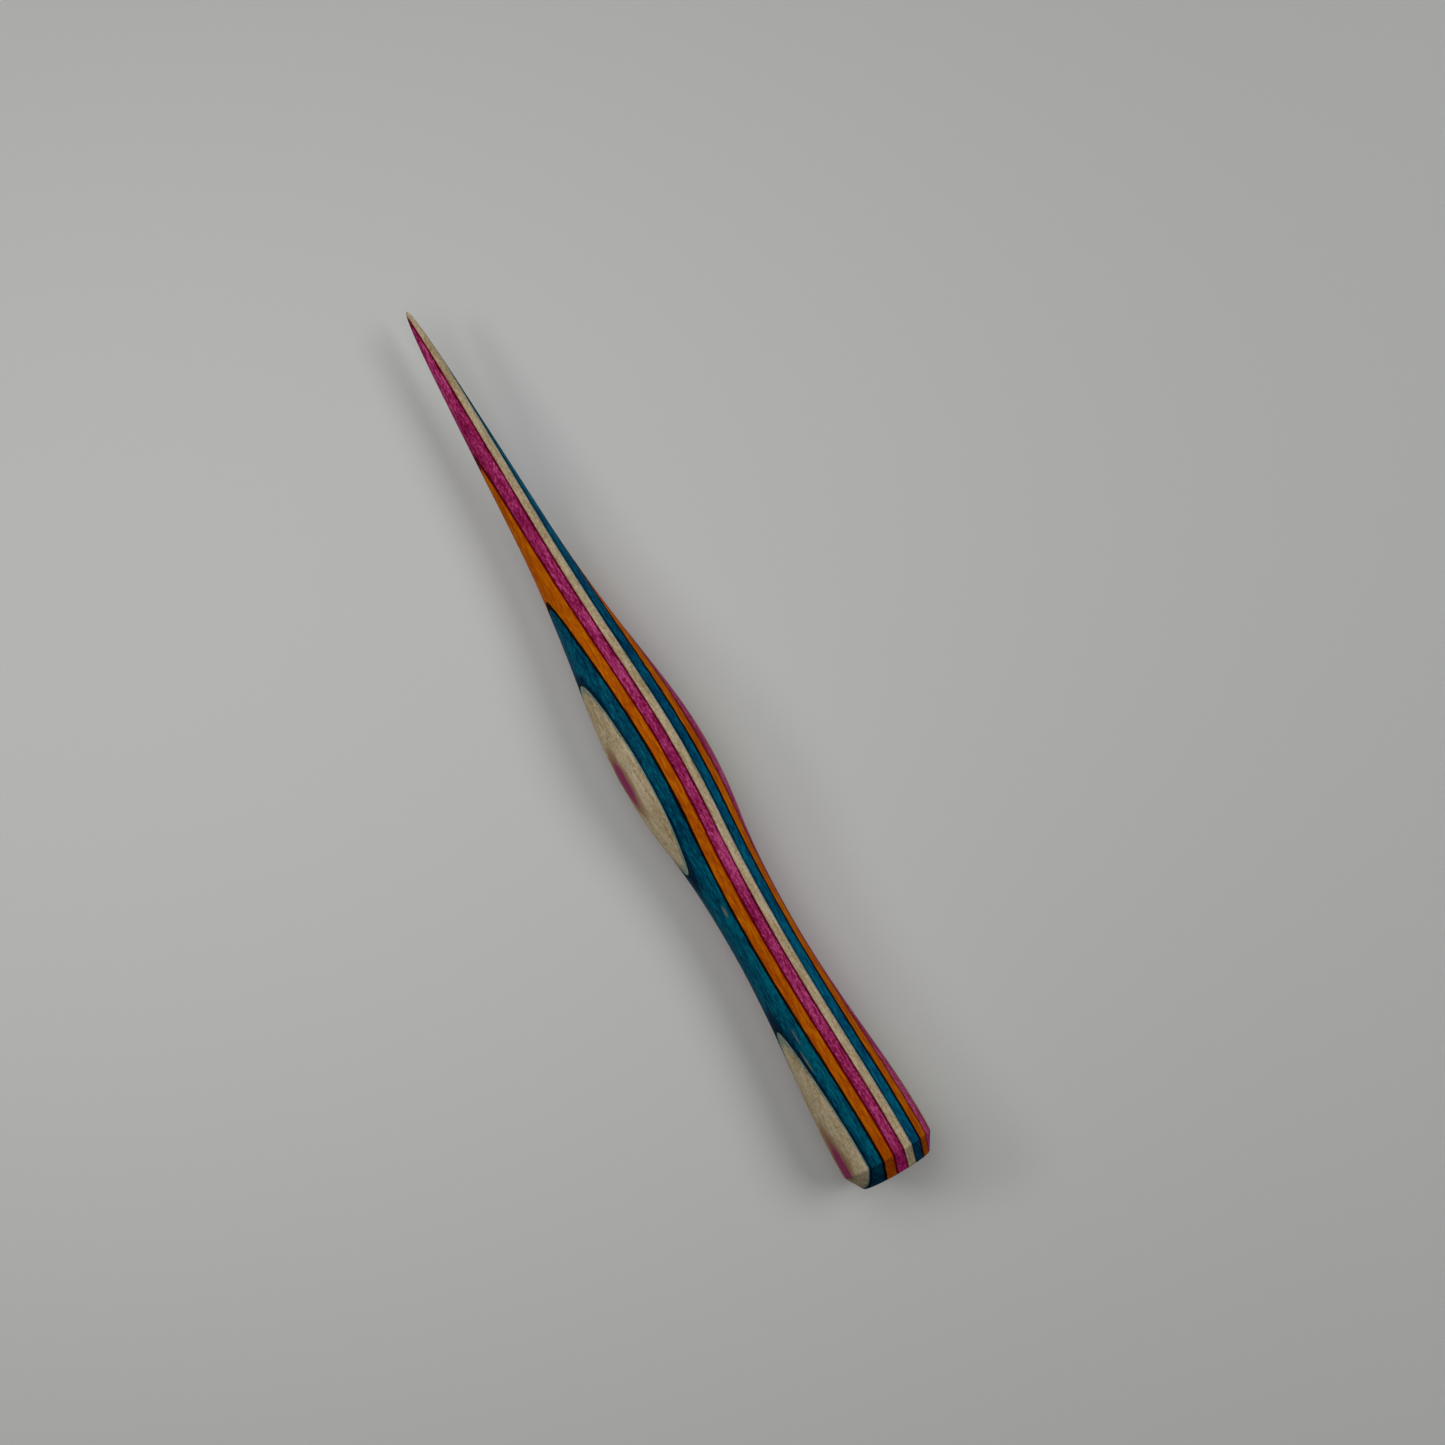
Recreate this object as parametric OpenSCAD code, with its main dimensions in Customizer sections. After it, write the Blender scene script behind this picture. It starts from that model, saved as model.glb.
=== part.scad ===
// Bookbinding awl turned in one piece from a glued block of dyed veneers.
// It lies on its side: the turning axis runs along X with the point towards -X,
// +Z is up, and z = 0 is the surface that the rim of the butt touches.

/* [Overall] */
// Length from the point to the flat butt
length = 137; // [125:1:170]

/* [Veneers] */
// Thickness of an undyed veneer
natural_t = 1.29; // [1.00:0.01:1.60]
// Thickness of a teal veneer
teal_t = 1.55; // [1.20:0.01:1.90]
// Thickness of an orange veneer
orange_t = 1.40; // [1.10:0.01:1.70]
// Thickness of a pink veneer
pink_t = 1.53; // [1.20:0.01:1.90]
// Thickness of a cured glue line
glue_t = 0.06; // [0.05:0.01:0.12]
// Undyed veneer left by the lathe on the upper crown of the bulge
upper_skin = 1.43; // [1.10:0.01:1.50]
// Undyed veneer left by the lathe on the lower crown of the bulge
lower_skin = 1.13; // [0.80:0.01:1.25]

/* [Lie of the block] */
// Turn of the layers about the awl's axis, as it lies
roll = 26.5; // [0:0.5:90]
// Least depth of wood that the lathe leaves standing where a layer runs out
feather = 0.05; // [0.04:0.01:0.06]
// How far the layers drift sideways from the point to the butt
drift = 0.24; // [0:0.02:0.30]

/* [Point] */
// Length of the rounded point
nose_len = 12.5; // [9:0.5:16]
// Radius where the rounded point becomes the shaft
nose_r = 1.42; // [1.15:0.01:1.75]
// Distance from the point to the end of the slender shaft
shaft_x = 36; // [29:0.5:44]
// Radius at the end of the slender shaft
shaft_r = 2.65; // [2.20:0.01:3.20]

/* [Grip] */
// Distance from the point to the crown of the bulge
bulge_x = 73.5; // [61:0.5:88]
// Distance from the point to the waist
waist_x = 100.5; // [95:0.5:112]
// How far the waist is turned below the bulge
waist_depth = 1.93; // [1.55:0.01:2.40]

/* [Butt] */
// How far the crest of the butt stands above the bulge
crest_over = 0.10; // [0.08:0.01:0.20]
// Length of the butt behind its crest, chamfer included
heel_len = 4.0; // [3.2:0.1:5.0]
// Length of the chamfer along the axis
chamfer_len = 2.6; // [1.8:0.1:3.1]
// Depth of the chamfer
chamfer_depth = 1.60; // [1.20:0.05:2.20]

/* [Hidden] */
$fn = 480;

natural_col = "#9b8a6c";
teal_col = "#01405c";
orange_col = "#9a4a02";
pink_col = "#882652";
glue_col = "#1c0a0e";

// The full veneers between the two skins, from the upper side to the lower side
veneers = [teal_t, orange_t, pink_t, natural_t, teal_t, orange_t, pink_t];
function total(list, count) = count == 0 ? 0 : list[count - 1] + total(list, count - 1);
bulge_d = upper_skin + total(veneers, len(veneers)) + (len(veneers) + 1) * glue_t + lower_skin;
bulge_r = bulge_d / 2;
waist_r = bulge_r - waist_depth;
crest_r = bulge_r + crest_over;
crest_x = length - heel_len;
rim_x = length - chamfer_len;
rim_drop = 0.02;
rim_r = crest_r - rim_drop;
face_r = rim_r - chamfer_depth;
reach = 2 * crest_r;

// Each swell between two stations passes through one middle station:
// [share of the way along, share of the way up, steepness against the mean slope]
rise_shape = [0.51, 0.50, 1.40];
fall_shape = [0.39, 0.44, 2.15];
flare_shape = [0.51, 0.46, 1.50];
nose_steps = 10;
swell_steps = 6;

// A station is [distance from the point, radius, slope]
nose = [nose_len, nose_r, nose_r / (2 * nose_len)];
shaft = [shaft_x, shaft_r, (shaft_r - nose_r) / (shaft_x - nose_len)];
bulge = [bulge_x, bulge_r, 0];
waist = [waist_x, waist_r, 0];
crest = [crest_x, crest_r, 0];

function mean_slope(a, b) = (b[1] - a[1]) / (b[0] - a[0]);
function middle(a, b, shape) = [
    a[0] + shape[0] * (b[0] - a[0]),
    a[1] + shape[1] * (b[1] - a[1]),
    shape[2] * mean_slope(a, b)
];
stations = [
    nose,
    shaft,
    middle(shaft, bulge, rise_shape),
    bulge,
    middle(bulge, waist, fall_shape),
    waist,
    middle(waist, crest, flare_shape),
    crest
];

// Radius a share u of the way between two stations, along a cubic that keeps both slopes
function cubic(a, b, u) =
    (2 * u^3 - 3 * u^2 + 1) * a[1]
    + (u^3 - 2 * u^2 + u) * (b[0] - a[0]) * a[2]
    + (3 * u^2 - 2 * u^3) * b[1]
    + (u^3 - u^2) * (b[0] - a[0]) * b[2];
function along(a, b, u) = a[0] + u * (b[0] - a[0]);

// The turned outline as [radius, distance from the point], closed along the axis
nose_curve = [for (i = [0 : nose_steps - 1]) [nose_r * i / nose_steps, nose_len * (i / nose_steps)^2]];
body_curve = [
    for (k = [0 : len(stations) - 2])
        for (i = [0 : swell_steps - 1])
            let (u = i / swell_steps)
            [cubic(stations[k], stations[k + 1], u), along(stations[k], stations[k + 1], u)]
];
butt_curve = [[crest_r, crest_x], [rim_r, rim_x], [face_r, length], [0, length]];
outline = concat(nose_curve, body_curve, butt_curve);

// Sideways place of the upper face of full veneer number i, counted from 0
function upper_face(i) = -bulge_r + upper_skin + (i + 1) * glue_t + total(veneers, i);
function lower_face(i) = upper_face(i) + veneers[i];
last = len(veneers) - 1;
core = 3;

// Radius of the turned body at a distance from the point
function stretch_of(x, k = 0) =
    k == len(stations) - 2 || x < stations[k + 1][0] ? k : stretch_of(x, k + 1);
function radius_at(x) =
    x < nose_len
    ? nose_r * sqrt(x / nose_len)
    : let (k = stretch_of(x), a = stations[k], b = stations[k + 1])
      cubic(a, b, (x - a[0]) / (b[0] - a[0]));

// How deep the wood beyond the layer face at p is, at a distance from the point
drift_slope = drift / length;
function depth(x, p) = radius_at(x) - abs(p - (x - bulge_x) * drift_slope);

// Where that depth reaches the least that is left standing, by halving the stretch
halvings = 24;
function edge_x(p, thin, thick, n = halvings) =
    let (mid = (thin + thick) / 2)
    n == 0 ? mid
    : depth(mid, p) < feather ? edge_x(p, mid, thick, n - 1)
    : edge_x(p, thin, mid, n - 1);

module turned() {
    rotate([0, 90, 0])
        rotate_extrude()
            polygon(outline);
}

// The block beyond the layer face at p, over one stretch of the awl
module block(p, from, to) {
    low = p < 0 ? -reach : p;
    translate([from - bulge_x, low, -reach])
        cube([to - from, p < 0 ? p + reach : reach - p, 2 * reach]);
}

module block_bulge(p) {
    block(p, edge_x(p, 0, bulge_x), edge_x(p, waist_x, bulge_x));
}

module block_butt(p) {
    block(p, edge_x(p, waist_x, crest_x), length + reach);
}

// A face that lies outside the waist parts its block into bulge and butt
module block_whole(p) {
    if (depth(waist_x, p) > feather) {
        block(p, edge_x(p, 0, bulge_x), length + reach);
    } else {
        block_bulge(p);
        block_butt(p);
    }
}

// What the lathe left of the blocks that are its children
module left_by_lathe() {
    translate([-length / 2, 0, crest_r])
        intersection() {
            turned();
            rotate([-roll, 0, 0])
                translate([bulge_x, 0, 0])
                    rotate([0, 0, -atan(drift_slope)])
                        children();
        }
}

// A layer lies beyond its inner face and short of its outer one, seen from the axis
module layer(inner, outer) {
    left_by_lathe()
        difference() {
            block_whole(inner);
            block_whole(outer);
        }
}

module layer_bulge(inner, outer) {
    left_by_lathe()
        difference() {
            block_bulge(inner);
            block_whole(outer);
        }
}

module layer_butt(inner, outer) {
    left_by_lathe()
        difference() {
            block_butt(inner);
            block_whole(outer);
        }
}

module upper_natural_bulge() {
    color(natural_col)
        left_by_lathe()
            block_bulge(upper_face(0) - glue_t);
}

module upper_natural_butt() {
    color(natural_col)
        left_by_lathe()
            block_butt(upper_face(0) - glue_t);
}

module upper_teal_veneer() {
    color(teal_col)
        layer(lower_face(0), upper_face(0));
}

module upper_orange_veneer() {
    color(orange_col)
        layer(lower_face(1), upper_face(1));
}

module centre_pink_veneer() {
    color(pink_col)
        layer(lower_face(2), upper_face(2));
}

// This one carries the point
module centre_natural_veneer() {
    color(natural_col)
        left_by_lathe()
            difference() {
                translate([-bulge_x, -reach, -reach])
                    cube([length, 2 * reach, 2 * reach]);
                block_whole(upper_face(core));
                block_whole(lower_face(core));
            }
}

module lower_teal_veneer() {
    color(teal_col)
        layer(upper_face(4), lower_face(4));
}

module lower_orange_veneer() {
    color(orange_col)
        layer(upper_face(5), lower_face(5));
}

module lower_pink_veneer() {
    color(pink_col)
        layer(upper_face(last), lower_face(last));
}

module lower_natural_bulge() {
    color(natural_col)
        left_by_lathe()
            block_bulge(lower_face(last) + glue_t);
}

module lower_natural_butt() {
    color(natural_col)
        left_by_lathe()
            block_butt(lower_face(last) + glue_t);
}

// The glue line on the upper side of full veneer number i, for i up to the core
module glue_above(i) {
    color(glue_col)
        layer(upper_face(i), upper_face(i) - glue_t);
}

module glue_above_bulge(i) {
    color(glue_col)
        layer_bulge(upper_face(i), upper_face(i) - glue_t);
}

module glue_above_butt(i) {
    color(glue_col)
        layer_butt(upper_face(i), upper_face(i) - glue_t);
}

// The glue line on the lower side of full veneer number i, from the core on
module glue_below(i) {
    color(glue_col)
        layer(lower_face(i), lower_face(i) + glue_t);
}

module glue_below_bulge(i) {
    color(glue_col)
        layer_bulge(lower_face(i), lower_face(i) + glue_t);
}

module glue_below_butt(i) {
    color(glue_col)
        layer_butt(lower_face(i), lower_face(i) + glue_t);
}

upper_natural_bulge();
upper_natural_butt();
upper_teal_veneer();
upper_orange_veneer();
centre_pink_veneer();
centre_natural_veneer();
lower_teal_veneer();
lower_orange_veneer();
lower_pink_veneer();
lower_natural_bulge();
lower_natural_butt();
glue_above_bulge(0);  // glue_upper_natural_bulge
glue_above_butt(0);  // glue_upper_natural_butt
glue_above(1);  // glue_upper_teal_orange
glue_above(2);  // glue_upper_orange_pink
glue_above(core);  // glue_centre_pink_natural
glue_below(core);  // glue_centre_natural_teal
glue_below(4);  // glue_lower_teal_orange
glue_below(5);  // glue_lower_orange_pink
glue_below_bulge(last);  // glue_lower_natural_bulge
glue_below_butt(last);  // glue_lower_natural_butt
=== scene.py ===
"""A bookbinding awl turned in one piece from a glued block of dyed veneers, lying on a pale floor."""

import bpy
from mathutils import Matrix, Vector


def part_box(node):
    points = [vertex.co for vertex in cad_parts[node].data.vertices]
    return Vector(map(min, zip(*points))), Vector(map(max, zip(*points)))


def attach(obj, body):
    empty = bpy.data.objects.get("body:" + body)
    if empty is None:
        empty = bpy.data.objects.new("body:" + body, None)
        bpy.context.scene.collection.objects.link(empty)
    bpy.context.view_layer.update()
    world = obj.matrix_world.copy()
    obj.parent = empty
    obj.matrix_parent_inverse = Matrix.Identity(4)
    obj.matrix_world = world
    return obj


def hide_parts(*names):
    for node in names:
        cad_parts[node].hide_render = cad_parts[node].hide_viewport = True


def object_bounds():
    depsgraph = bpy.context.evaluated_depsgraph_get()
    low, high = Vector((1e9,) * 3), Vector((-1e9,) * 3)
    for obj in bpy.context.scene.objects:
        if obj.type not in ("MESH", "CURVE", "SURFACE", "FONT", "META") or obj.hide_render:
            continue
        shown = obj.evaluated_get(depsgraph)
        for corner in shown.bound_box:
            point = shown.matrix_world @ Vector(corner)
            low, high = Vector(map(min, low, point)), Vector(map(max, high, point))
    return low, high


bl_info = {
    "name": "Laminated bookbinding awl",
    "version": (1, 0, 0),
    "blender": (4, 5, 0),
    "location": "View3D > Sidebar > Awl",
    "description": "Builds an awl turned from a block of dyed veneers, with its stage",
    "category": "Add Mesh",
}

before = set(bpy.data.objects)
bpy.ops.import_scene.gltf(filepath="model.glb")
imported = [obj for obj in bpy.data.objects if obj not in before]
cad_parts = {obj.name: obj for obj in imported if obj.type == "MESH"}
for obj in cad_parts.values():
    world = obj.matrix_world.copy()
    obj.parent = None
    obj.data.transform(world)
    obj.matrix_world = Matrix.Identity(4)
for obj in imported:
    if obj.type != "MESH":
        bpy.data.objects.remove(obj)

import math

import bmesh
import bpy
import numpy as np
from bpy.props import FloatProperty, FloatVectorProperty, PointerProperty
from mathutils import Matrix, Vector

CAD_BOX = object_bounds()
MM = 0.001
LENGTH = CAD_BOX[1].x - CAD_BOX[0].x
CREST_RADIUS = (CAD_BOX[1].z - CAD_BOX[0].z) / 2


def paint(code):
    """A linear colour from a hex code."""
    values = [int(code[i:i + 2], 16) / 255 for i in (1, 3, 5)]
    return tuple(v / 12.92 if v <= 0.04045 else ((v + 0.055) / 1.055) ** 2.4 for v in values)


def size(name, description, millimetres):
    return FloatProperty(
        name=name,
        description=description,
        default=millimetres * MM,
        min=0,
        precision=5,
        subtype="DISTANCE",
        unit="LENGTH",
    )


def angle(name, description, degrees):
    return FloatProperty(
        name=name,
        description=description,
        default=math.radians(degrees),
        subtype="ANGLE",
        unit="ROTATION",
    )


def power(name, description, watts):
    return FloatProperty(name=name, description=description, default=watts, min=0, unit="POWER")


def colour(name, description, code):
    return FloatVectorProperty(
        name=name,
        description=description,
        default=paint(code),
        min=0,
        max=1,
        size=3,
        subtype="COLOR",
    )


class AwlSizes(bpy.types.PropertyGroup):
    natural: size("Undyed veneer", "Thickness of an undyed veneer", 1.29)
    teal: size("Teal veneer", "Thickness of a teal veneer", 1.55)
    orange: size("Orange veneer", "Thickness of an orange veneer", 1.40)
    pink: size("Pink veneer", "Thickness of a pink veneer", 1.53)
    glue: size("Glue line", "Thickness of a cured glue line", 0.06)
    upper_skin: size("Upper skin", "Undyed veneer left on the upper crown of the bulge", 1.43)
    roll: angle("Roll", "Turn of the layers about the awl's axis", 26.5)
    drift: size("Drift", "How far the layers drift sideways from the point to the butt", 0.24)
    nose_length: size("Nose length", "Length of the rounded point", 12.5)
    nose_radius: size("Nose radius", "Radius where the rounded point becomes the shaft", 1.42)
    shaft_end: size("Shaft end", "Distance from the point to the end of the shaft", 36)
    shaft_radius: size("Shaft radius", "Radius at the end of the slender shaft", 2.65)
    bulge_at: size("Bulge", "Distance from the point to the crown of the bulge", 73.5)
    waist_at: size("Waist", "Distance from the point to the waist", 100.5)
    waist_depth: size("Waist depth", "How far the waist is turned below the bulge", 1.93)
    crest_over: size("Crest height", "How far the crest of the butt stands above the bulge", 0.10)
    heel: size("Heel", "Length of the butt behind its crest", 4.0)
    chamfer_length: size("Chamfer length", "Length of the chamfer along the axis", 2.6)
    chamfer_depth: size("Chamfer depth", "Depth of the chamfer", 1.60)
    rim_drop: size("Rim drop", "Fall from the crest to the edge of the chamfer", 0.02)
    rim_round: size("Rim rounding", "Radius that sanding left on the rim", 0.55)
    face_round: size("Face rounding", "Radius that sanding left round the flat butt", 0.40)


class AwlColours(bpy.types.PropertyGroup):
    natural: colour("Undyed", "Undyed veneer", "#b9a786")
    teal: colour("Teal", "Teal dyed veneer", "#004a62")
    orange: colour("Orange", "Orange dyed veneer", "#b65800")
    pink: colour("Pink", "Pink dyed veneer", "#9b245b")
    floor: colour("Floor", "Floor that the awl lies on", "#d2d3d1")


class AwlStage(bpy.types.PropertyGroup):
    lens: FloatProperty(name="Lens", description="Focal length of the camera", default=59.8, unit="CAMERA")
    distance: size("Camera distance", "From the camera to the point that it aims at", 330.5)
    tilt: angle("Camera tilt", "Lean of the view from straight down towards the butt", 5.37)
    turn: angle("Camera turn", "Turn of the awl's axis in the picture", 60.10)
    aim_along: size("Aim along", "How far the aim lies from the awl's middle, towards the butt", 4.01)
    aim_beside: size("Aim beside", "How far the aim lies beside the awl's axis", 9.73)
    overhead: power("Overhead lamp", "Power of the large lamp above the awl", 0.147)
    front: power("Front lamp", "Power of the lamp on the side of the undyed crowns", 0.497)
    back: power("Back lamp", "Power of the lamp on the far side", 2.168)
    sky: FloatProperty(name="Sky", description="Brightness of the light from all round", default=0.07)


# The turned outline

NOSE_SAMPLES = 48
SWELL_SAMPLES = 64
ROUND_SAMPLES = 10
# Each swell passes through one middle station:
# (share of the way along, share of the way up, steepness against the mean slope)
RISE_SHAPE = (0.51, 0.50, 1.40)
FALL_SHAPE = (0.39, 0.44, 2.15)
FLARE_SHAPE = (0.51, 0.46, 1.50)


def mean_slope(a, b):
    return (b[1] - a[1]) / (b[0] - a[0])


def middle(a, b, shape):
    """The station between a and b that gives a swell its shape. A station is (distance, radius, slope)."""
    along, up, steepness = shape
    return (a[0] + along * (b[0] - a[0]), a[1] + up * (b[1] - a[1]), steepness * mean_slope(a, b))


def swell(a, b):
    """Samples (distance, radius, lean) of the cubic from a to b that keeps both slopes."""
    u = np.arange(SWELL_SAMPLES) / SWELL_SAMPLES
    run = b[0] - a[0]
    radius = (
        (2 * u**3 - 3 * u**2 + 1) * a[1]
        + (u**3 - 2 * u**2 + u) * run * a[2]
        + (3 * u**2 - 2 * u**3) * b[1]
        + (u**3 - u**2) * run * b[2]
    )
    slope = (
        (6 * u**2 - 6 * u) * (a[1] - b[1]) / run
        + (3 * u**2 - 4 * u + 1) * a[2]
        + (3 * u**2 - 2 * u) * b[2]
    )
    return np.stack([a[0] + u * run, radius, -np.arctan(slope)], 1)


def lean_between(a, b):
    """Lean of the outward normal from square to the axis, towards the butt, on a straight stretch."""
    return math.atan2(a[1] - b[1], b[0] - a[0])


def rounded(before, corner, after, radius):
    """Samples round a corner of the outline."""
    first = lean_between(before, corner)
    last = lean_between(corner, after)
    cut = radius * math.tan((last - first) / 2)
    centre_x = corner[0] - cut * math.cos(first) - radius * math.sin(first)
    centre_r = corner[1] + cut * math.sin(first) - radius * math.cos(first)
    lean = np.linspace(first, last, ROUND_SAMPLES)
    return np.stack([centre_x + radius * np.sin(lean), centre_r + radius * np.cos(lean), lean], 1)


class Outline:
    """The turned outline, and how a flat layer face at some place across the block cuts it."""

    def __init__(self, sizes):
        s = sizes
        bulge_radius = CREST_RADIUS - s.crest_over
        waist_radius = bulge_radius - s.waist_depth
        nose = (s.nose_length, s.nose_radius, s.nose_radius / (2 * s.nose_length))
        shaft = (s.shaft_end, s.shaft_radius, mean_slope(nose, (s.shaft_end, s.shaft_radius)))
        bulge = (s.bulge_at, bulge_radius, 0)
        waist = (s.waist_at, waist_radius, 0)
        crest = (LENGTH - s.heel, CREST_RADIUS, 0)
        stations = [
            nose,
            shaft,
            middle(shaft, bulge, RISE_SHAPE),
            bulge,
            middle(bulge, waist, FALL_SHAPE),
            waist,
            middle(waist, crest, FLARE_SHAPE),
            crest,
        ]
        rim = (LENGTH - s.chamfer_length, CREST_RADIUS - s.rim_drop)
        face = (LENGTH, rim[1] - s.chamfer_depth)
        samples = [self.nose_samples(s)]
        samples += [swell(a, b) for a, b in zip(stations, stations[1:])]
        samples.append(np.array([[crest[0], crest[1], 0]]))
        samples.append(rounded(crest, rim, face, s.rim_round))
        samples.append(rounded(rim, face, (LENGTH, 0), s.face_round))
        self.distance, self.radius, self.lean = np.concatenate(samples).T
        self.distance[-1] = LENGTH
        self.bulge_radius = bulge_radius
        self.middle = s.bulge_at
        self.drift_slope = s.drift / LENGTH

    def nose_samples(self, s):
        u = np.arange(NOSE_SAMPLES) / NOSE_SAMPLES
        lean = -np.arctan2(s.nose_radius, 2 * s.nose_length * u)
        return np.stack([s.nose_length * u**2, s.nose_radius * u, lean], 1)

    def radius_at(self, x):
        return np.interp(x, self.distance, self.radius)

    def lean_at(self, x):
        return np.interp(x, self.distance, self.lean)

    def face_at(self, face, x):
        """Where a layer face lies across the block at a distance from the point."""
        return face - (x - self.middle) * self.drift_slope

    def cuts(self, face, half_width=0.0):
        """Distances at which the outline leaves the face standing to this half width."""
        spare = self.radius**2 - self.face_at(face, self.distance)**2 - half_width**2
        change = np.nonzero((spare[:-1] < 0) != (spare[1:] < 0))[0]
        share = spare[change] / (spare[change] - spare[change + 1])
        return list(self.distance[change] + share * np.diff(self.distance)[change])


# The layers of the block, from the upper side to the lower side

class Layer:
    """A veneer or a glue line: what it is made of, its two faces, and its nodes from point to butt."""

    def __init__(self, title, stuff, low, high, nodes):
        self.title = title
        self.stuff = stuff
        self.low = low
        self.high = high
        self.nodes = nodes
        self.above = None
        self.below = None

    def inner(self):
        """The face nearer to the axis, or None for the layer that holds the axis."""
        if self.low < 0 < self.high:
            return None
        return self.high if self.high <= 0 else self.low


VENEERS = [
    ("upper_natural", "natural", ["upper_natural_bulge", "upper_natural_butt"]),
    ("upper_teal", "teal", ["upper_teal_veneer"]),
    ("upper_orange", "orange", ["upper_orange_veneer"]),
    ("centre_pink", "pink", ["centre_pink_veneer"]),
    ("centre_natural", "natural", ["centre_natural_veneer"]),
    ("lower_teal", "teal", ["lower_teal_veneer"]),
    ("lower_orange", "orange", ["lower_orange_veneer"]),
    ("lower_pink", "pink", ["lower_pink_veneer"]),
    ("lower_natural", "natural", ["lower_natural_bulge", "lower_natural_butt"]),
]
GLUE_LINES = [
    ["glue_upper_natural_bulge", "glue_upper_natural_butt"],
    ["glue_upper_teal_orange"],
    ["glue_upper_orange_pink"],
    ["glue_centre_pink_natural"],
    ["glue_centre_natural_teal"],
    ["glue_lower_teal_orange"],
    ["glue_lower_orange_pink"],
    ["glue_lower_natural_bulge", "glue_lower_natural_butt"],
]


def stack_layers(sizes):
    """The layers of the block with their faces, the glue lines between the veneers."""
    bulge_radius = CREST_RADIUS - sizes.crest_over
    edge = 2 * CREST_RADIUS
    layers = []
    low = -edge
    high = -bulge_radius + sizes.upper_skin
    for number, (title, stuff, nodes) in enumerate(VENEERS):
        layers.append(Layer(title, stuff, low, high, nodes))
        if number == len(VENEERS) - 1:
            break
        low = high + sizes.glue
        layers.append(Layer("glue_" + title, "glue", high, low, GLUE_LINES[number]))
        following = number + 1
        last = following == len(VENEERS) - 1
        high = edge if last else low + getattr(sizes, VENEERS[following][1])
    for above, layer in zip(layers, layers[1:]):
        layer.above = above
        above.below = layer
    return layers


# Turned pieces

STEP = 0.6 * MM
ARC_STEP = 0.3 * MM
NEAR = 0.004 * MM
# Below these a ring is a single point
LEAST_RADIUS = NEAR / 10
LEAST_ANGLE = 1e-6
# Keeps the radius at the very point above nothing, to divide by
TINY_RADIUS = 1e-9
CHAMFER_RINGS = 5
HALF_WIDTHS = [w * MM for w in (0.0, 0.1, 0.22, 0.38, 0.58, 0.82, 1.1, 1.45, 1.9, 2.5)]
FEATHER_REACH = 3.0 * MM


def stretches(outline, layer):
    """The stretches of the awl, from the point to the butt, along which a layer shows."""
    inner = layer.inner()
    if inner is None:
        return [(0.0, LENGTH)]
    ends = outline.cuts(inner)
    if len(ends) % 2:
        ends.append(LENGTH)
    return list(zip(ends[::2], ends[1::2]))


def stations_between(outline, layer, start, end):
    """Distances of a piece's rings, closer together where a face runs out at the surface."""
    marks = {start, end}
    for face in (layer.low, layer.high):
        for half_width in HALF_WIDTHS:
            marks.update(outline.cuts(face, half_width))
    nose = outline.distance[:NOSE_SAMPLES:2]
    crest = outline.distance[-2 * ROUND_SAMPLES - 1]
    shaft = np.linspace(outline.distance[NOSE_SAMPLES], crest, round(crest / STEP))
    heel = outline.distance[-2 * ROUND_SAMPLES:]
    chamfer = np.linspace(heel[ROUND_SAMPLES - 1], heel[ROUND_SAMPLES], CHAMFER_RINGS)
    plain = np.concatenate([nose, shaft, heel, chamfer])
    kept = [start]
    for x in sorted(marks | set(plain)):
        if kept[-1] + NEAR < x < end - NEAR:
            kept.append(x)
    kept.append(end)
    return kept


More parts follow.
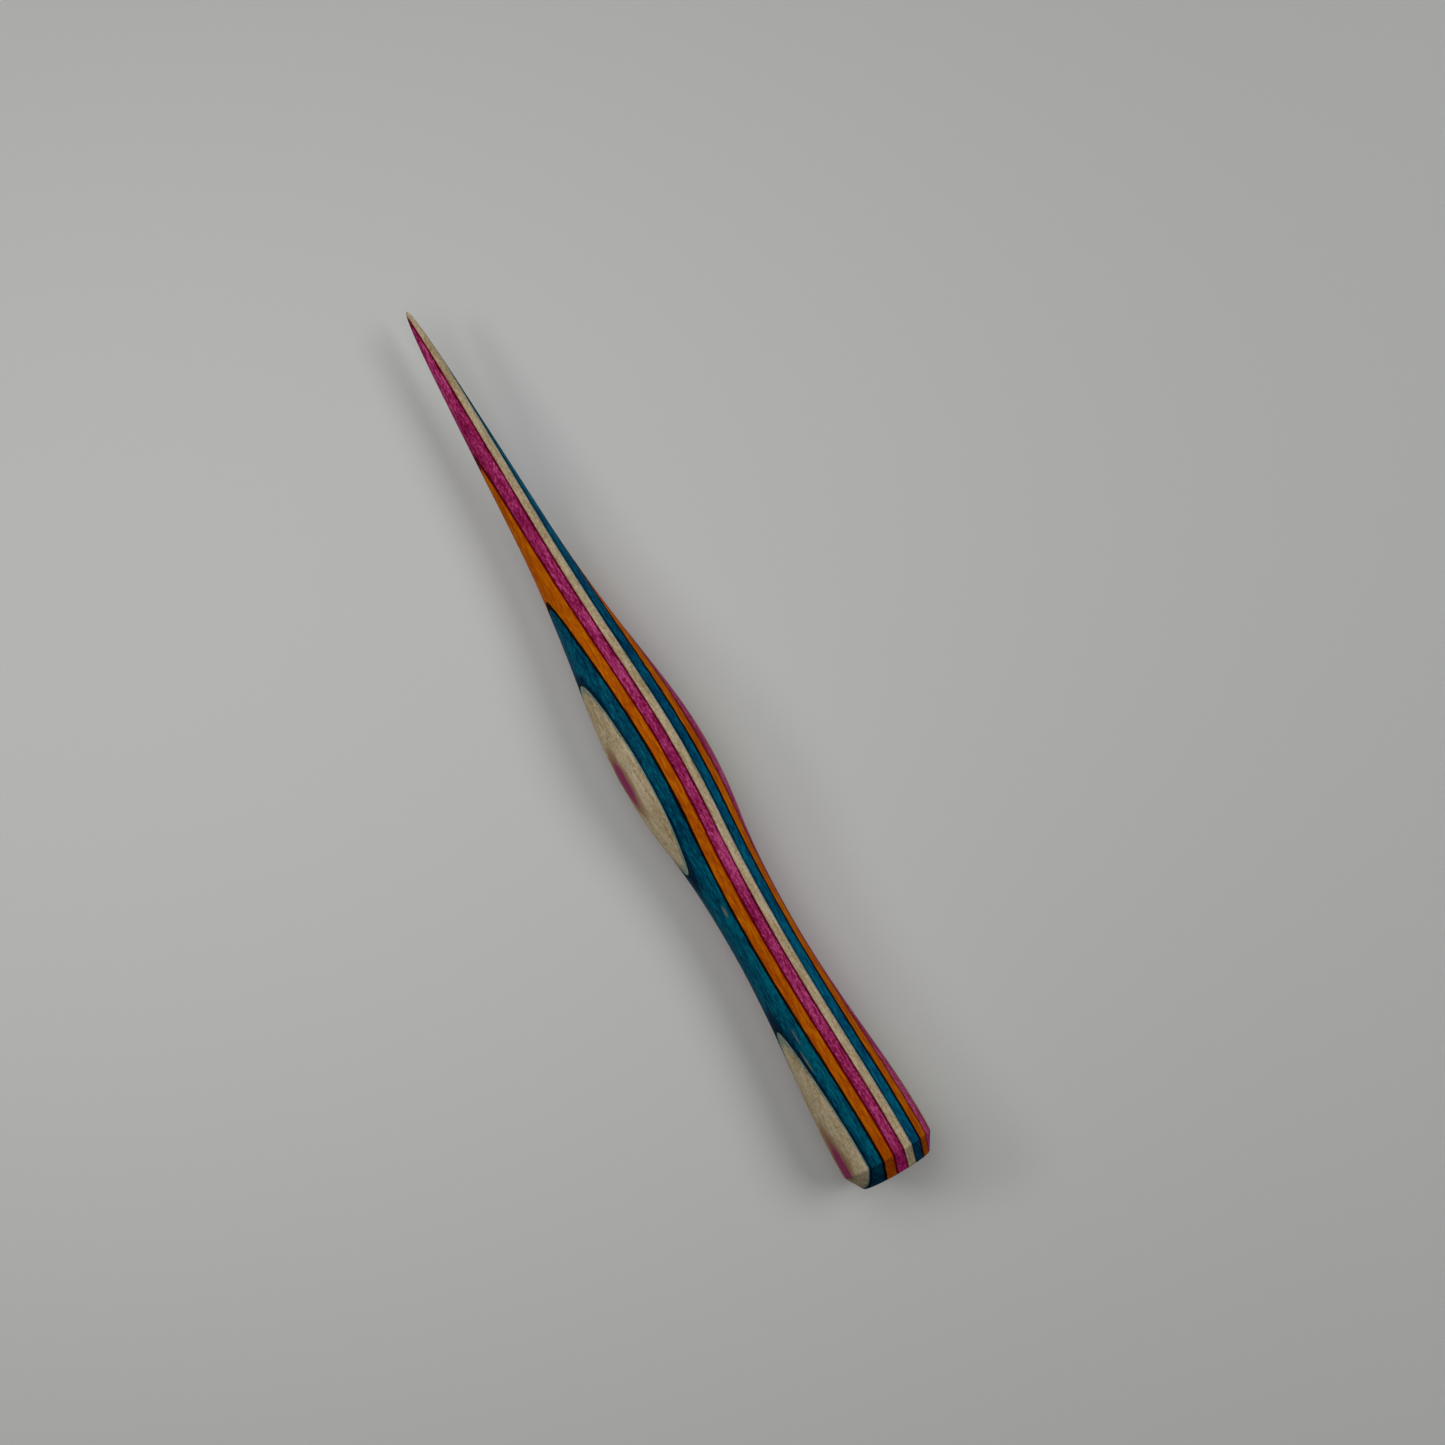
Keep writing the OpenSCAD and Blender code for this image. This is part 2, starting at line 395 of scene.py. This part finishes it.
class TurnedPiece:
    """One piece of a layer: rings of points along the awl, joined by faces and closed at both ends."""

    def __init__(self, outline, layer, roll, start, end):
        self.outline = outline
        self.layer = layer
        self.roll = roll
        self.mesh = bmesh.new()
        self.turned = self.mesh.faces.layers.int.new("turned")
        stations = stations_between(outline, layer, start, end)
        self.steps = self.arc_steps(stations)
        rings = [self.ring(x) for x in stations]
        for a, b in zip(rings, rings[1:]):
            self.join(a, b)
        if end == LENGTH:
            self.face(rings[-1], False)

    def span(self, x):
        """Angles of the layer's two faces on the turned circle, from the axis."""
        radius = max(self.outline.radius_at(x), TINY_RADIUS)
        faces = [self.outline.face_at(f, x) for f in (self.layer.low, self.layer.high)]
        return radius, *(math.asin(min(1, max(-1, f / radius))) for f in faces)

    def arc_steps(self, stations):
        arcs = [radius * (high - low) for radius, low, high in map(self.span, stations)]
        return max(1, math.ceil(max(arcs) / ARC_STEP))

    def place(self, x, across, up):
        """A point from its distance, its place across the layers and its height in their plane."""
        cos, sin = math.cos(self.roll), math.sin(self.roll)
        return (x - LENGTH / 2, across * cos + up * sin, CREST_RADIUS - across * sin + up * cos)

    def ring(self, x):
        """Points over the upper arc from the low face to the high one, and back along the under arc."""
        radius, low, high = self.span(x)
        if radius < LEAST_RADIUS or high - low < LEAST_ANGLE:
            across = math.copysign(radius, low) if radius > NEAR else 0
            tip = self.mesh.verts.new(self.place(x, across, 0))
            return [tip] * (2 * self.steps + 2)
        angles = [low + (high - low) * i / self.steps for i in range(self.steps + 1)]
        upper = []
        under = []
        for beta in angles:
            across, up = radius * math.sin(beta), radius * math.cos(beta)
            upper.append(self.mesh.verts.new(self.place(x, across, up)))
            if up < LEAST_RADIUS:
                under.append(upper[-1])
            else:
                under.append(self.mesh.verts.new(self.place(x, across, -up)))
        return upper + under[::-1]

    def face(self, corners, turned):
        kept = [c for i, c in enumerate(corners) if c not in corners[:i]]
        if len(kept) > 2:
            self.mesh.faces.new(kept)[self.turned] = int(turned)

    def join(self, a, b):
        flats = (self.steps, 2 * self.steps + 1)
        for i in range(len(a)):
            j = (i + 1) % len(a)
            self.face([a[i], a[j], b[j], b[i]], i not in flats)

    def finished(self, name):
        """The piece as an object, with the turned surface shaded from the outline itself."""
        bmesh.ops.recalc_face_normals(self.mesh, faces=self.mesh.faces)
        made = bpy.data.meshes.new(name)
        self.mesh.to_mesh(made)
        self.mesh.free()
        made.shade_smooth()
        turned = made.attributes["turned"].data
        normals = [None] * len(made.loops)
        for polygon in made.polygons:
            for loop in polygon.loop_indices:
                if turned[polygon.index].value:
                    normals[loop] = self.normal(made.vertices[made.loops[loop].vertex_index].co)
                else:
                    normals[loop] = polygon.normal.copy()
        made.normals_split_custom_set(normals)
        made.attributes.remove(made.attributes["turned"])
        piece = bpy.data.objects.new(name, made)
        bpy.context.scene.collection.objects.link(piece)
        return piece

    def normal(self, point):
        lean = self.outline.lean_at(point.x + LENGTH / 2)
        outward = Vector((0, point.y, point.z - CREST_RADIUS))
        if outward.length < LEAST_RADIUS:
            return Vector((math.copysign(1, lean), 0, 0))
        outward.normalize()
        return Vector((math.sin(lean), 0, 0)) + outward * math.cos(lean)


def check_place(piece, node):
    """Stops if a piece doesn't lie where the node that it stands for lies."""
    low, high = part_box(node)
    corners = [Vector(c) for c in piece.bound_box]
    for i in range(3):
        mine = (min(c[i] for c in corners), max(c[i] for c in corners))
        gap = max(abs(mine[0] - low[i]), abs(mine[1] - high[i]))
        if gap > (FEATHER_REACH if i == 0 else FEATHER_REACH / 3):
            raise RuntimeError(f"{piece.name} is {gap / MM:.2f} mm off {node} along axis {i}")


def turn_layer(layer):
    """Makes the pieces of one layer in place of its nodes."""
    sizes = bpy.context.scene.awl_sizes
    outline = Outline(sizes)
    found = stretches(outline, layer)
    if len(found) != len(layer.nodes):
        raise RuntimeError(f"{layer.title} shows along {len(found)} stretches, not {len(layer.nodes)}")
    material = finish_for(layer, outline, sizes, bpy.context.scene.awl_colours)
    for (start, end), node in zip(found, layer.nodes):
        piece = TurnedPiece(outline, layer, sizes.roll, start, end).finished("finished_" + node)
        piece.data.materials.append(material)
        check_place(piece, node)
        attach(piece, "root")
        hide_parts(node)


def turn_layers(stuff):
    for layer in stack_layers(bpy.context.scene.awl_sizes):
        if layer.stuff == stuff:
            turn_layer(layer)


# Shader maths

class Term:
    """A shader socket that sums can be written with."""

    def __init__(self, recipe, socket):
        self.recipe = recipe
        self.socket = socket

    def __add__(self, other):
        return self.recipe.maths("ADD", self, other)

    def __sub__(self, other):
        return self.recipe.maths("SUBTRACT", self, other)

    def __mul__(self, other):
        return self.recipe.maths("MULTIPLY", self, other)

    def __truediv__(self, other):
        return self.recipe.maths("DIVIDE", self, other)

    def __rsub__(self, other):
        return self.recipe.maths("SUBTRACT", other, self)

    __radd__ = __add__


class Recipe:
    """The nodes of one material."""

    def __init__(self, name):
        self.material = bpy.data.materials.new(name)
        self.material.use_nodes = True
        self.tree = self.material.node_tree
        self.tree.nodes.clear()

    def node(self, kind, settings, sockets, output=0):
        """Adds a node: its settings first, then the value or link of each socket. Gives one output."""
        made = self.tree.nodes.new(kind)
        for name, value in settings.items():
            if name == "stops":
                self.set_stops(made.color_ramp, value)
            else:
                setattr(made, name, value)
        for name, value in sockets.items():
            if isinstance(value, Term):
                self.tree.links.new(value.socket, made.inputs[name])
            else:
                made.inputs[name].default_value = value
        return Term(self, made.outputs[output])

    def set_stops(self, ramp, stops):
        while len(ramp.elements) < len(stops):
            ramp.elements.new(1.0)
        for element, (place, shade) in zip(ramp.elements, stops):
            element.position = place
            element.color = (*shade, 1)

    def maths(self, operation, first, second):
        return self.node("ShaderNodeMath", {"operation": operation}, {0: first, 1: second})

    def vector_maths(self, operation, first, second):
        return self.node("ShaderNodeVectorMath", {"operation": operation}, {0: first, 1: second})

    def rise(self, value, low, high):
        """0 below low and 1 above high, with a smooth rise between. It falls where low is above high."""
        settings = {"interpolation_type": "SMOOTHSTEP"}
        sockets = {"Value": value, "From Min": low, "From Max": high, "To Min": 0.0, "To Max": 1.0}
        return self.node("ShaderNodeMapRange", settings, sockets)

    def blend(self, share, first, second, way="MIX"):
        """Mixes two colours."""
        settings = {"data_type": "RGBA", "blend_type": way, "clamp_factor": True}
        sockets = {0: share, 6: solid(first), 7: solid(second)}
        return self.node("ShaderNodeMix", settings, sockets, 2)

    def noise(self, place, detail=2.0, roughness=0.5, distortion=0.0):
        sockets = {
            "Vector": place,
            "Scale": 1.0,
            "Detail": detail,
            "Roughness": roughness,
            "Distortion": distortion,
        }
        return self.node("ShaderNodeTexNoise", {"noise_dimensions": "3D"}, sockets)

    def finish(self, sockets):
        """The surface, from the sockets of its shader."""
        surface = self.node("ShaderNodeBsdfPrincipled", {}, sockets)
        self.node_output(surface)
        return self.material

    def node_output(self, surface):
        out = self.tree.nodes.new("ShaderNodeOutputMaterial")
        self.tree.links.new(surface.socket, out.inputs["Surface"])


def solid(shade):
    """A colour socket's value from three numbers; a link stays as it is."""
    return shade if isinstance(shade, Term) else (*shade, 1.0)


def scaled(shade, factors):
    """A colour with its channels multiplied."""
    return tuple(c * f for c, f in zip(shade, factors))


# Finishes

# The tints of each veneer's dark fibres, light fibres (on the undyed veneer partly painted glints) and
# end grain, and how many flecks there are in a millimetre along and across the fibres
GRAIN = {
    "natural": {
        "dark": (0.70, 0.60, 0.45),
        # The undyed veneer's light fibres are partly real grain and partly painted glints
        "light": (1.28, 1.33, 1.43),
        "end": (0.73, 0.73, 0.73),
        "flecks": (2.2, 5.0),
    },
    "teal": {
        "dark": (0.10, 0.44, 0.58),
        "light": (5.0, 2.10, 1.70),
        "end": (0.80, 0.42, 0.48),
        "flecks": (1.0, 5.2),
    },
    "orange": {
        "dark": (0.78, 0.60, 0.50),
        "light": (1.24, 1.62, 1.40),
        "end": (0.64, 0.54, 0.50),
        "flecks": (0.7, 4.0),
    },
    "pink": {
        "dark": (0.56, 0.18, 0.44),
        "light": (1.66, 4.40, 2.25),
        "end": (0.86, 0.55, 0.90),
        "flecks": (1.8, 5.0),
    },
}
# Veneers tinted apart from the others of their colour: the lower teal is bluer, and the lower pink is
# lighter, a painted grazing sheen
LAYER_TINTS_AND_SHEEN = {"lower_teal": (1.0, 1.04, 1.22), "lower_pink": (1.06, 1.50, 1.15)}
# How far the tone of the grain strays from its middle before it reaches those tints
TONE_REACH = 0.09
# Dye that soaked into the crowns of the upper undyed veneer: its colour, and its depths across the block
CROWN_STAIN = "#92305f"
CROWN_STAIN_FADE = "#8c6247"
CROWN_FADE_DEPTHS = (-6.26, -6.52)
CROWN_STAIN_DEPTHS = (-6.49, -6.59)
CROWN_FADE_SHARE = 0.8
CROWN_STAIN_SHARE = 0.95
# The dye that a veneer took up from the one that it meets: (tint, depth across the layers in mm)
BLEEDS = {
    ("natural", "teal"): ((0.46, 0.74, 0.96), 0.22),
    ("natural", "pink"): ((0.86, 0.55, 0.52), 0.18),
    ("teal", "natural"): ((0.20, 0.30, 0.42), 0.30),
}
# The dark line that a veneer shows beside the one that it meets: (tint, width over the surface in mm)
DARK_LINES = {
    ("teal", "orange"): ((1.5, 0.05, 0.03), 0.24),
    ("orange", "teal"): ((0.05, 0.04, 0.10), 0.22),
    ("orange", "pink"): ((0.40, 0.06, 6.0), 0.20),
    ("pink", "orange"): ((0.40, 0.08, 0.12), 0.19),
    ("pink", "natural"): ((0.24, 0.04, 0.12), 0.25),
}
# The slope at which a dark line stops widening, where the surface runs almost along the layers
LEAST_SLOPE = 0.25
# Part of a stain's width over which it keeps its full strength
STAIN_CORE = 0.4
# How far in mm a stain's edge wanders with the fibres and with the broad clouds of tone
FIBRE_WANDER = 0.16
CLOUD_WANDER = 0.10
GLUE_SHADES = {
    frozenset(("natural", "teal")): "#02222f",
    frozenset(("natural", "pink")): "#4c0a22",
    frozenset(("teal", "orange")): "#140803",
    frozenset(("orange", "pink")): "#4d0710",
}
SEED_STEP = Vector((37.1, 11.7, 23.3))
# Slivers of undyed fibre in the upper teal veneer: (distance from the awl's middle, place across the
# layers, height in their plane, half length, half width), all in mm
SLIVERS = [
    (26.9, -4.22, 2.35, 0.90, 0.11),
    (45.2, -4.58, 3.08, 2.00, 0.08),
    (48.6, -4.97, 3.02, 2.60, 0.09),
]
SLIVER_TONE = "#8d8467"
SLIVER_SHARE = 0.6
SLIVER_EDGE = (1.4, 0.5)
SLIVER_WANDER = 7
# How many times as high as wide a sliver is
SLIVER_HEIGHT = 4
# Features in a millimetre along and across the fibres, and how far their noise is moved aside
CLOUDS = (0.10, 0.45)
FIBRES = (0.30, 2.4, 5.0)
FLECK_SHIFT = 9.0
PORES = (0.9, 15.0, 13.0)
GLUE_PATCHES = (0.9, 3.0)
PORE_TINT_RANGE = (0.62, 0.78)
PORE_DEPTH_RANGE = (0.58, 0.80)
# How much of the light a waxed surface mirrors
SHINE = 0.015
# Where the end grain starts and is full, in mm behind the rim
END_GRAIN_EDGE = (-0.1, 0.3)


class WoodCoordinates:
    """Places in the block, in millimetres: along the fibres, across the layers, and up in their plane."""

    def __init__(self, recipe, outline, sizes, number):
        self.recipe = recipe
        turn = Matrix.Rotation(sizes.roll, 4, "X")
        where = recipe.node("ShaderNodeTexCoord", {}, {}, 3)
        sockets = {
            "Vector": where,
            "Location": turn @ Vector((0, 0, -CREST_RADIUS / MM)),
            "Rotation": (sizes.roll, 0, 0),
            "Scale": (1 / MM,) * 3,
        }
        self.place = recipe.node("ShaderNodeMapping", {"vector_type": "POINT"}, sockets)
        self.along = recipe.node("ShaderNodeSeparateXYZ", {}, {"Vector": self.place}, 0)
        self.across = recipe.node("ShaderNodeSeparateXYZ", {}, {"Vector": self.place}, 1)
        self.up = recipe.node("ShaderNodeSeparateXYZ", {}, {"Vector": self.place}, 2)
        middle_x = (outline.middle - LENGTH / 2) / MM
        self.layer = self.across + (self.along - middle_x) * outline.drift_slope
        self.seed = SEED_STEP * number

    def slope(self):
        """How steeply the turned surface cuts the layers: 1 square to them, 0 along them."""
        maths = self.recipe.maths
        radius = maths("SQRT", self.across * self.across + self.up * self.up, 0.0)
        return maths("MAXIMUM", maths("ABSOLUTE", self.up, 0.0) / radius, LEAST_SLOPE)

    def stretched(self, along, across, shift=0.0):
        """The place with so many features in a millimetre along and across the fibres."""
        wide = self.recipe.vector_maths("MULTIPLY", self.place, (along, across, across))
        return self.recipe.vector_maths("ADD", wide, tuple(self.seed + Vector((shift,) * 3)))


def stained(recipe, shade, slope, pair, depth, wander):
    """A veneer's colour with the stain along one of its faces."""
    if pair in BLEEDS:
        tint, width = BLEEDS[pair]
        distance = depth
    else:
        tint, width = DARK_LINES[pair]
        distance = depth / slope
    share = recipe.rise(distance + wander, width, width * STAIN_CORE)
    dark = recipe.blend(1.0, shade, tint, "MULTIPLY")
    return recipe.blend(share, shade, dark)


def crown_stained(recipe, shade, depth):
    """The upper undyed veneer's colour with dye in its crowns, brown where the dye thins out."""
    thin = recipe.rise(depth, *CROWN_FADE_DEPTHS)
    full = recipe.rise(depth, *CROWN_STAIN_DEPTHS)
    shade = recipe.blend(thin * CROWN_FADE_SHARE, shade, paint(CROWN_STAIN_FADE))
    return recipe.blend(full * CROWN_STAIN_SHARE, shade, paint(CROWN_STAIN))


def slivered(recipe, shade, wood, wander):
    """The upper teal veneer's colour with the slivers of undyed fibre that run through it."""
    for along, across, up, half_length, half_width in SLIVERS:
        offset = recipe.vector_maths("SUBTRACT", wood.place, (along, across, up))
        scales = (1 / half_length, 1 / half_width, 1 / (SLIVER_HEIGHT * half_width))
        near = recipe.vector_maths("MULTIPLY", offset, scales)
        reach = recipe.node("ShaderNodeVectorMath", {"operation": "LENGTH"}, {0: near}, 1)
        share = recipe.rise(reach + wander * SLIVER_WANDER, *SLIVER_EDGE)
        shade = recipe.blend(share * SLIVER_SHARE, shade, paint(SLIVER_TONE))
    return shade


def veneer_finish(layer, outline, sizes, colours, number):
    """Wax-rubbed wood: broad tone, long fibres, short flecks, pores, and stain along its faces."""
    # The lower pink veneer's lighter base colour is a painted grazing sheen
    base = scaled(getattr(colours, layer.stuff), LAYER_TINTS_AND_SHEEN.get(layer.title, (1, 1, 1)))
    look = GRAIN[layer.stuff]
    recipe = Recipe(layer.title + "_wood")
    wood = WoodCoordinates(recipe, outline, sizes, number)
    slope = wood.slope()
    cloud = recipe.noise(wood.stretched(*CLOUDS), 2.0)
    fibre = recipe.noise(wood.stretched(*FIBRES), 3.0, 0.6, 0.3)
    fleck = recipe.noise(wood.stretched(*look["flecks"], FLECK_SHIFT), 3.0, 0.6)
    tone = cloud * 0.22 + fibre * 0.30 + fleck * 0.48
    stops = [
        (0.5 - TONE_REACH, scaled(base, look["dark"])),
        (0.5, base),
        (0.5 + TONE_REACH, scaled(base, look["light"])),
    ]
    shade = recipe.node("ShaderNodeValToRGB", {"stops": stops}, {"Fac": tone})
    pores = recipe.noise(wood.stretched(*PORES), 1.0)
    pore_share = recipe.rise(pores, *PORE_TINT_RANGE) * 0.5
    shade = recipe.blend(pore_share, shade, scaled(base, look["dark"]))
    wander = (fibre - 0.5) * FIBRE_WANDER + (cloud - 0.5) * CLOUD_WANDER
    if layer.above:
        pair = (layer.stuff, layer.above.above.stuff)
        shade = stained(recipe, shade, slope, pair, wood.layer - layer.low / MM, wander)
    if layer.below:
        pair = (layer.stuff, layer.below.below.stuff)
        shade = stained(recipe, shade, slope, pair, layer.high / MM - wood.layer, wander)
    if layer.title == "upper_teal":
        shade = slivered(recipe, shade, wood, wander)
    if not layer.above:
        shade = crown_stained(recipe, shade, wood.layer + wander)
    rim = (LENGTH / 2 - sizes.chamfer_length) / MM
    end_grain = recipe.rise(wood.along, *(rim + offset for offset in END_GRAIN_EDGE))
    shade = recipe.blend(end_grain, shade, look["end"], "MULTIPLY")
    height = fibre * 0.4 + fleck * 0.4 - recipe.rise(pores, *PORE_DEPTH_RANGE) * 0.5
    bump = recipe.node("ShaderNodeBump", {}, {"Strength": 0.35, "Distance": 0.02 * MM, "Height": height})
    return recipe.finish({
        "Base Color": shade,
        "Roughness": 0.40 + fleck * 0.14 + end_grain * 0.12,
        "Normal": bump,
        "Specular IOR Level": SHINE,
    })


def glue_finish(layer, outline, sizes, number):
    """Cured glue that has taken up the dyes of its two veneers."""
    pair = frozenset((layer.above.stuff, layer.below.stuff))
    base = paint(GLUE_SHADES[pair])
    recipe = Recipe(layer.title + "_line")
    wood = WoodCoordinates(recipe, outline, sizes, number)
    patch = recipe.noise(wood.stretched(*GLUE_PATCHES), 3.0, 0.6)
    stops = [(0.30, scaled(base, (0.45,) * 3)), (0.55, base), (0.80, scaled(base, (1.9,) * 3))]
    shade = recipe.node("ShaderNodeValToRGB", {"stops": stops}, {"Fac": patch})
    bump = recipe.node("ShaderNodeBump", {}, {"Strength": 0.3, "Distance": 0.01 * MM, "Height": patch})
    return recipe.finish({
        "Base Color": shade,
        "Roughness": 0.42 + patch * 0.16,
        "Normal": bump,
        "Specular IOR Level": SHINE,
    })


def finish_for(layer, outline, sizes, colours):
    number = [entry.title for entry in stack_layers(sizes)].index(layer.title)
    if layer.stuff == "glue":
        return glue_finish(layer, outline, sizes, number)
    return veneer_finish(layer, outline, sizes, colours, number)


# Operators

class AWL_OT_natural_veneers(bpy.types.Operator):
    """Makes the undyed veneers"""

    bl_idname = "awl.natural_veneers"
    bl_label = "Undyed veneers"

    def execute(self, context):
        turn_layers("natural")
        return {"FINISHED"}


class AWL_OT_teal_veneers(bpy.types.Operator):
    """Makes the teal veneers"""

    bl_idname = "awl.teal_veneers"
    bl_label = "Teal veneers"

    def execute(self, context):
        turn_layers("teal")
        return {"FINISHED"}


class AWL_OT_orange_veneers(bpy.types.Operator):
    """Makes the orange veneers"""

    bl_idname = "awl.orange_veneers"
    bl_label = "Orange veneers"

    def execute(self, context):
        turn_layers("orange")
        return {"FINISHED"}


class AWL_OT_pink_veneers(bpy.types.Operator):
    """Makes the pink veneers"""

    bl_idname = "awl.pink_veneers"
    bl_label = "Pink veneers"

    def execute(self, context):
        turn_layers("pink")
        return {"FINISHED"}


class AWL_OT_glue_lines(bpy.types.Operator):
    """Makes the glue lines between the veneers"""

    bl_idname = "awl.glue_lines"
    bl_label = "Glue lines"

    def execute(self, context):
        turn_layers("glue")
        return {"FINISHED"}


FLOOR_SIZE = 4.0
# Round lamps that shine straight down: the setting with the power, the place and the width
LAMPS = [
    ("overhead", (-0.045, -0.045, 0.190), 0.214),
    ("front", (-0.196, -0.319, 0.287), 0.186),
    ("back", (0.144, 0.467, 0.524), 0.428),
]


def make_floor(colours):
    surface = bmesh.new()
    bmesh.ops.create_grid(surface, x_segments=1, y_segments=1, size=FLOOR_SIZE / 2)
    made = bpy.data.meshes.new("floor")
    surface.to_mesh(made)
    surface.free()
    floor = bpy.data.objects.new("floor", made)
    bpy.context.scene.collection.objects.link(floor)
    recipe = Recipe("floor_paper")
    made.materials.append(recipe.finish({
        "Base Color": solid(tuple(colours.floor)),
        "Roughness": 0.9,
        "Specular IOR Level": 0.1,
    }))


def make_lights(stage):
    for name, place, width in LAMPS:
        lamp = bpy.data.lights.new(name, "AREA")
        lamp.shape = "DISK"
        lamp.size = width
        lamp.energy = getattr(stage, name)
        holder = bpy.data.objects.new(name, lamp)
        holder.location = place
        holder.visible_camera = False
        bpy.context.scene.collection.objects.link(holder)
    world = bpy.data.worlds.new("studio")
    world.use_nodes = True
    background = world.node_tree.nodes["Background"]
    background.inputs["Color"].default_value = (1, 1, 1, 1)
    background.inputs["Strength"].default_value = stage.sky
    bpy.context.scene.world = world


def make_camera(stage):
    """A camera that looks almost straight down, leaning towards the butt."""
    towards = Vector((math.sin(stage.tilt), 0, math.cos(stage.tilt)))
    along = Vector((math.cos(stage.tilt), 0, -math.sin(stage.tilt)))
    across = Vector((0, 1, 0))
    right = along * math.cos(stage.turn) + across * math.sin(stage.turn)
    above = towards.cross(right)
    aim = Vector((stage.aim_along, stage.aim_beside, CREST_RADIUS))
    lens = bpy.data.cameras.new("camera")
    lens.lens = stage.lens
    lens.clip_start = 0.01
    lens.clip_end = 10
    camera = bpy.data.objects.new("camera", lens)
    bpy.context.scene.collection.objects.link(camera)
    axes = Matrix((right, above, towards)).transposed().to_4x4()
    camera.matrix_world = Matrix.Translation(aim + towards * stage.distance) @ axes
    bpy.context.scene.camera = camera


class AWL_OT_stage(bpy.types.Operator):
    """Makes the floor, the light and the camera"""

    bl_idname = "awl.stage"
    bl_label = "Stage"

    def execute(self, context):
        context.scene.view_settings.view_transform = "Standard"
        make_floor(context.scene.awl_colours)
        make_lights(context.scene.awl_stage)
        make_camera(context.scene.awl_stage)
        return {"FINISHED"}


class AWL_PT_panel(bpy.types.Panel):
    bl_label = "Bookbinding awl"
    bl_space_type = "VIEW_3D"
    bl_region_type = "UI"
    bl_category = "Awl"

    def draw(self, context):
        for group in (context.scene.awl_sizes, context.scene.awl_colours, context.scene.awl_stage):
            box = self.layout.box()
            for name in group.__annotations__:
                box.prop(group, name)
        for operator in OPERATORS:
            self.layout.operator(operator.bl_idname)


OPERATORS = (
    AWL_OT_stage,
    AWL_OT_natural_veneers,
    AWL_OT_teal_veneers,
    AWL_OT_orange_veneers,
    AWL_OT_pink_veneers,
    AWL_OT_glue_lines,
)
GROUPS = {"awl_sizes": AwlSizes, "awl_colours": AwlColours, "awl_stage": AwlStage}
CLASSES = (*GROUPS.values(), *OPERATORS, AWL_PT_panel)


def register():
    for made in CLASSES:
        bpy.utils.register_class(made)
    for name, group in GROUPS.items():
        setattr(bpy.types.Scene, name, PointerProperty(type=group))


def unregister():
    for name in GROUPS:
        delattr(bpy.types.Scene, name)
    for made in reversed(CLASSES):
        bpy.utils.unregister_class(made)


def main():
    register()
    bpy.ops.awl.stage()
    bpy.ops.awl.natural_veneers()
    bpy.ops.awl.teal_veneers()
    bpy.ops.awl.orange_veneers()
    bpy.ops.awl.pink_veneers()
    bpy.ops.awl.glue_lines()


if __name__ == "__main__":
    main()
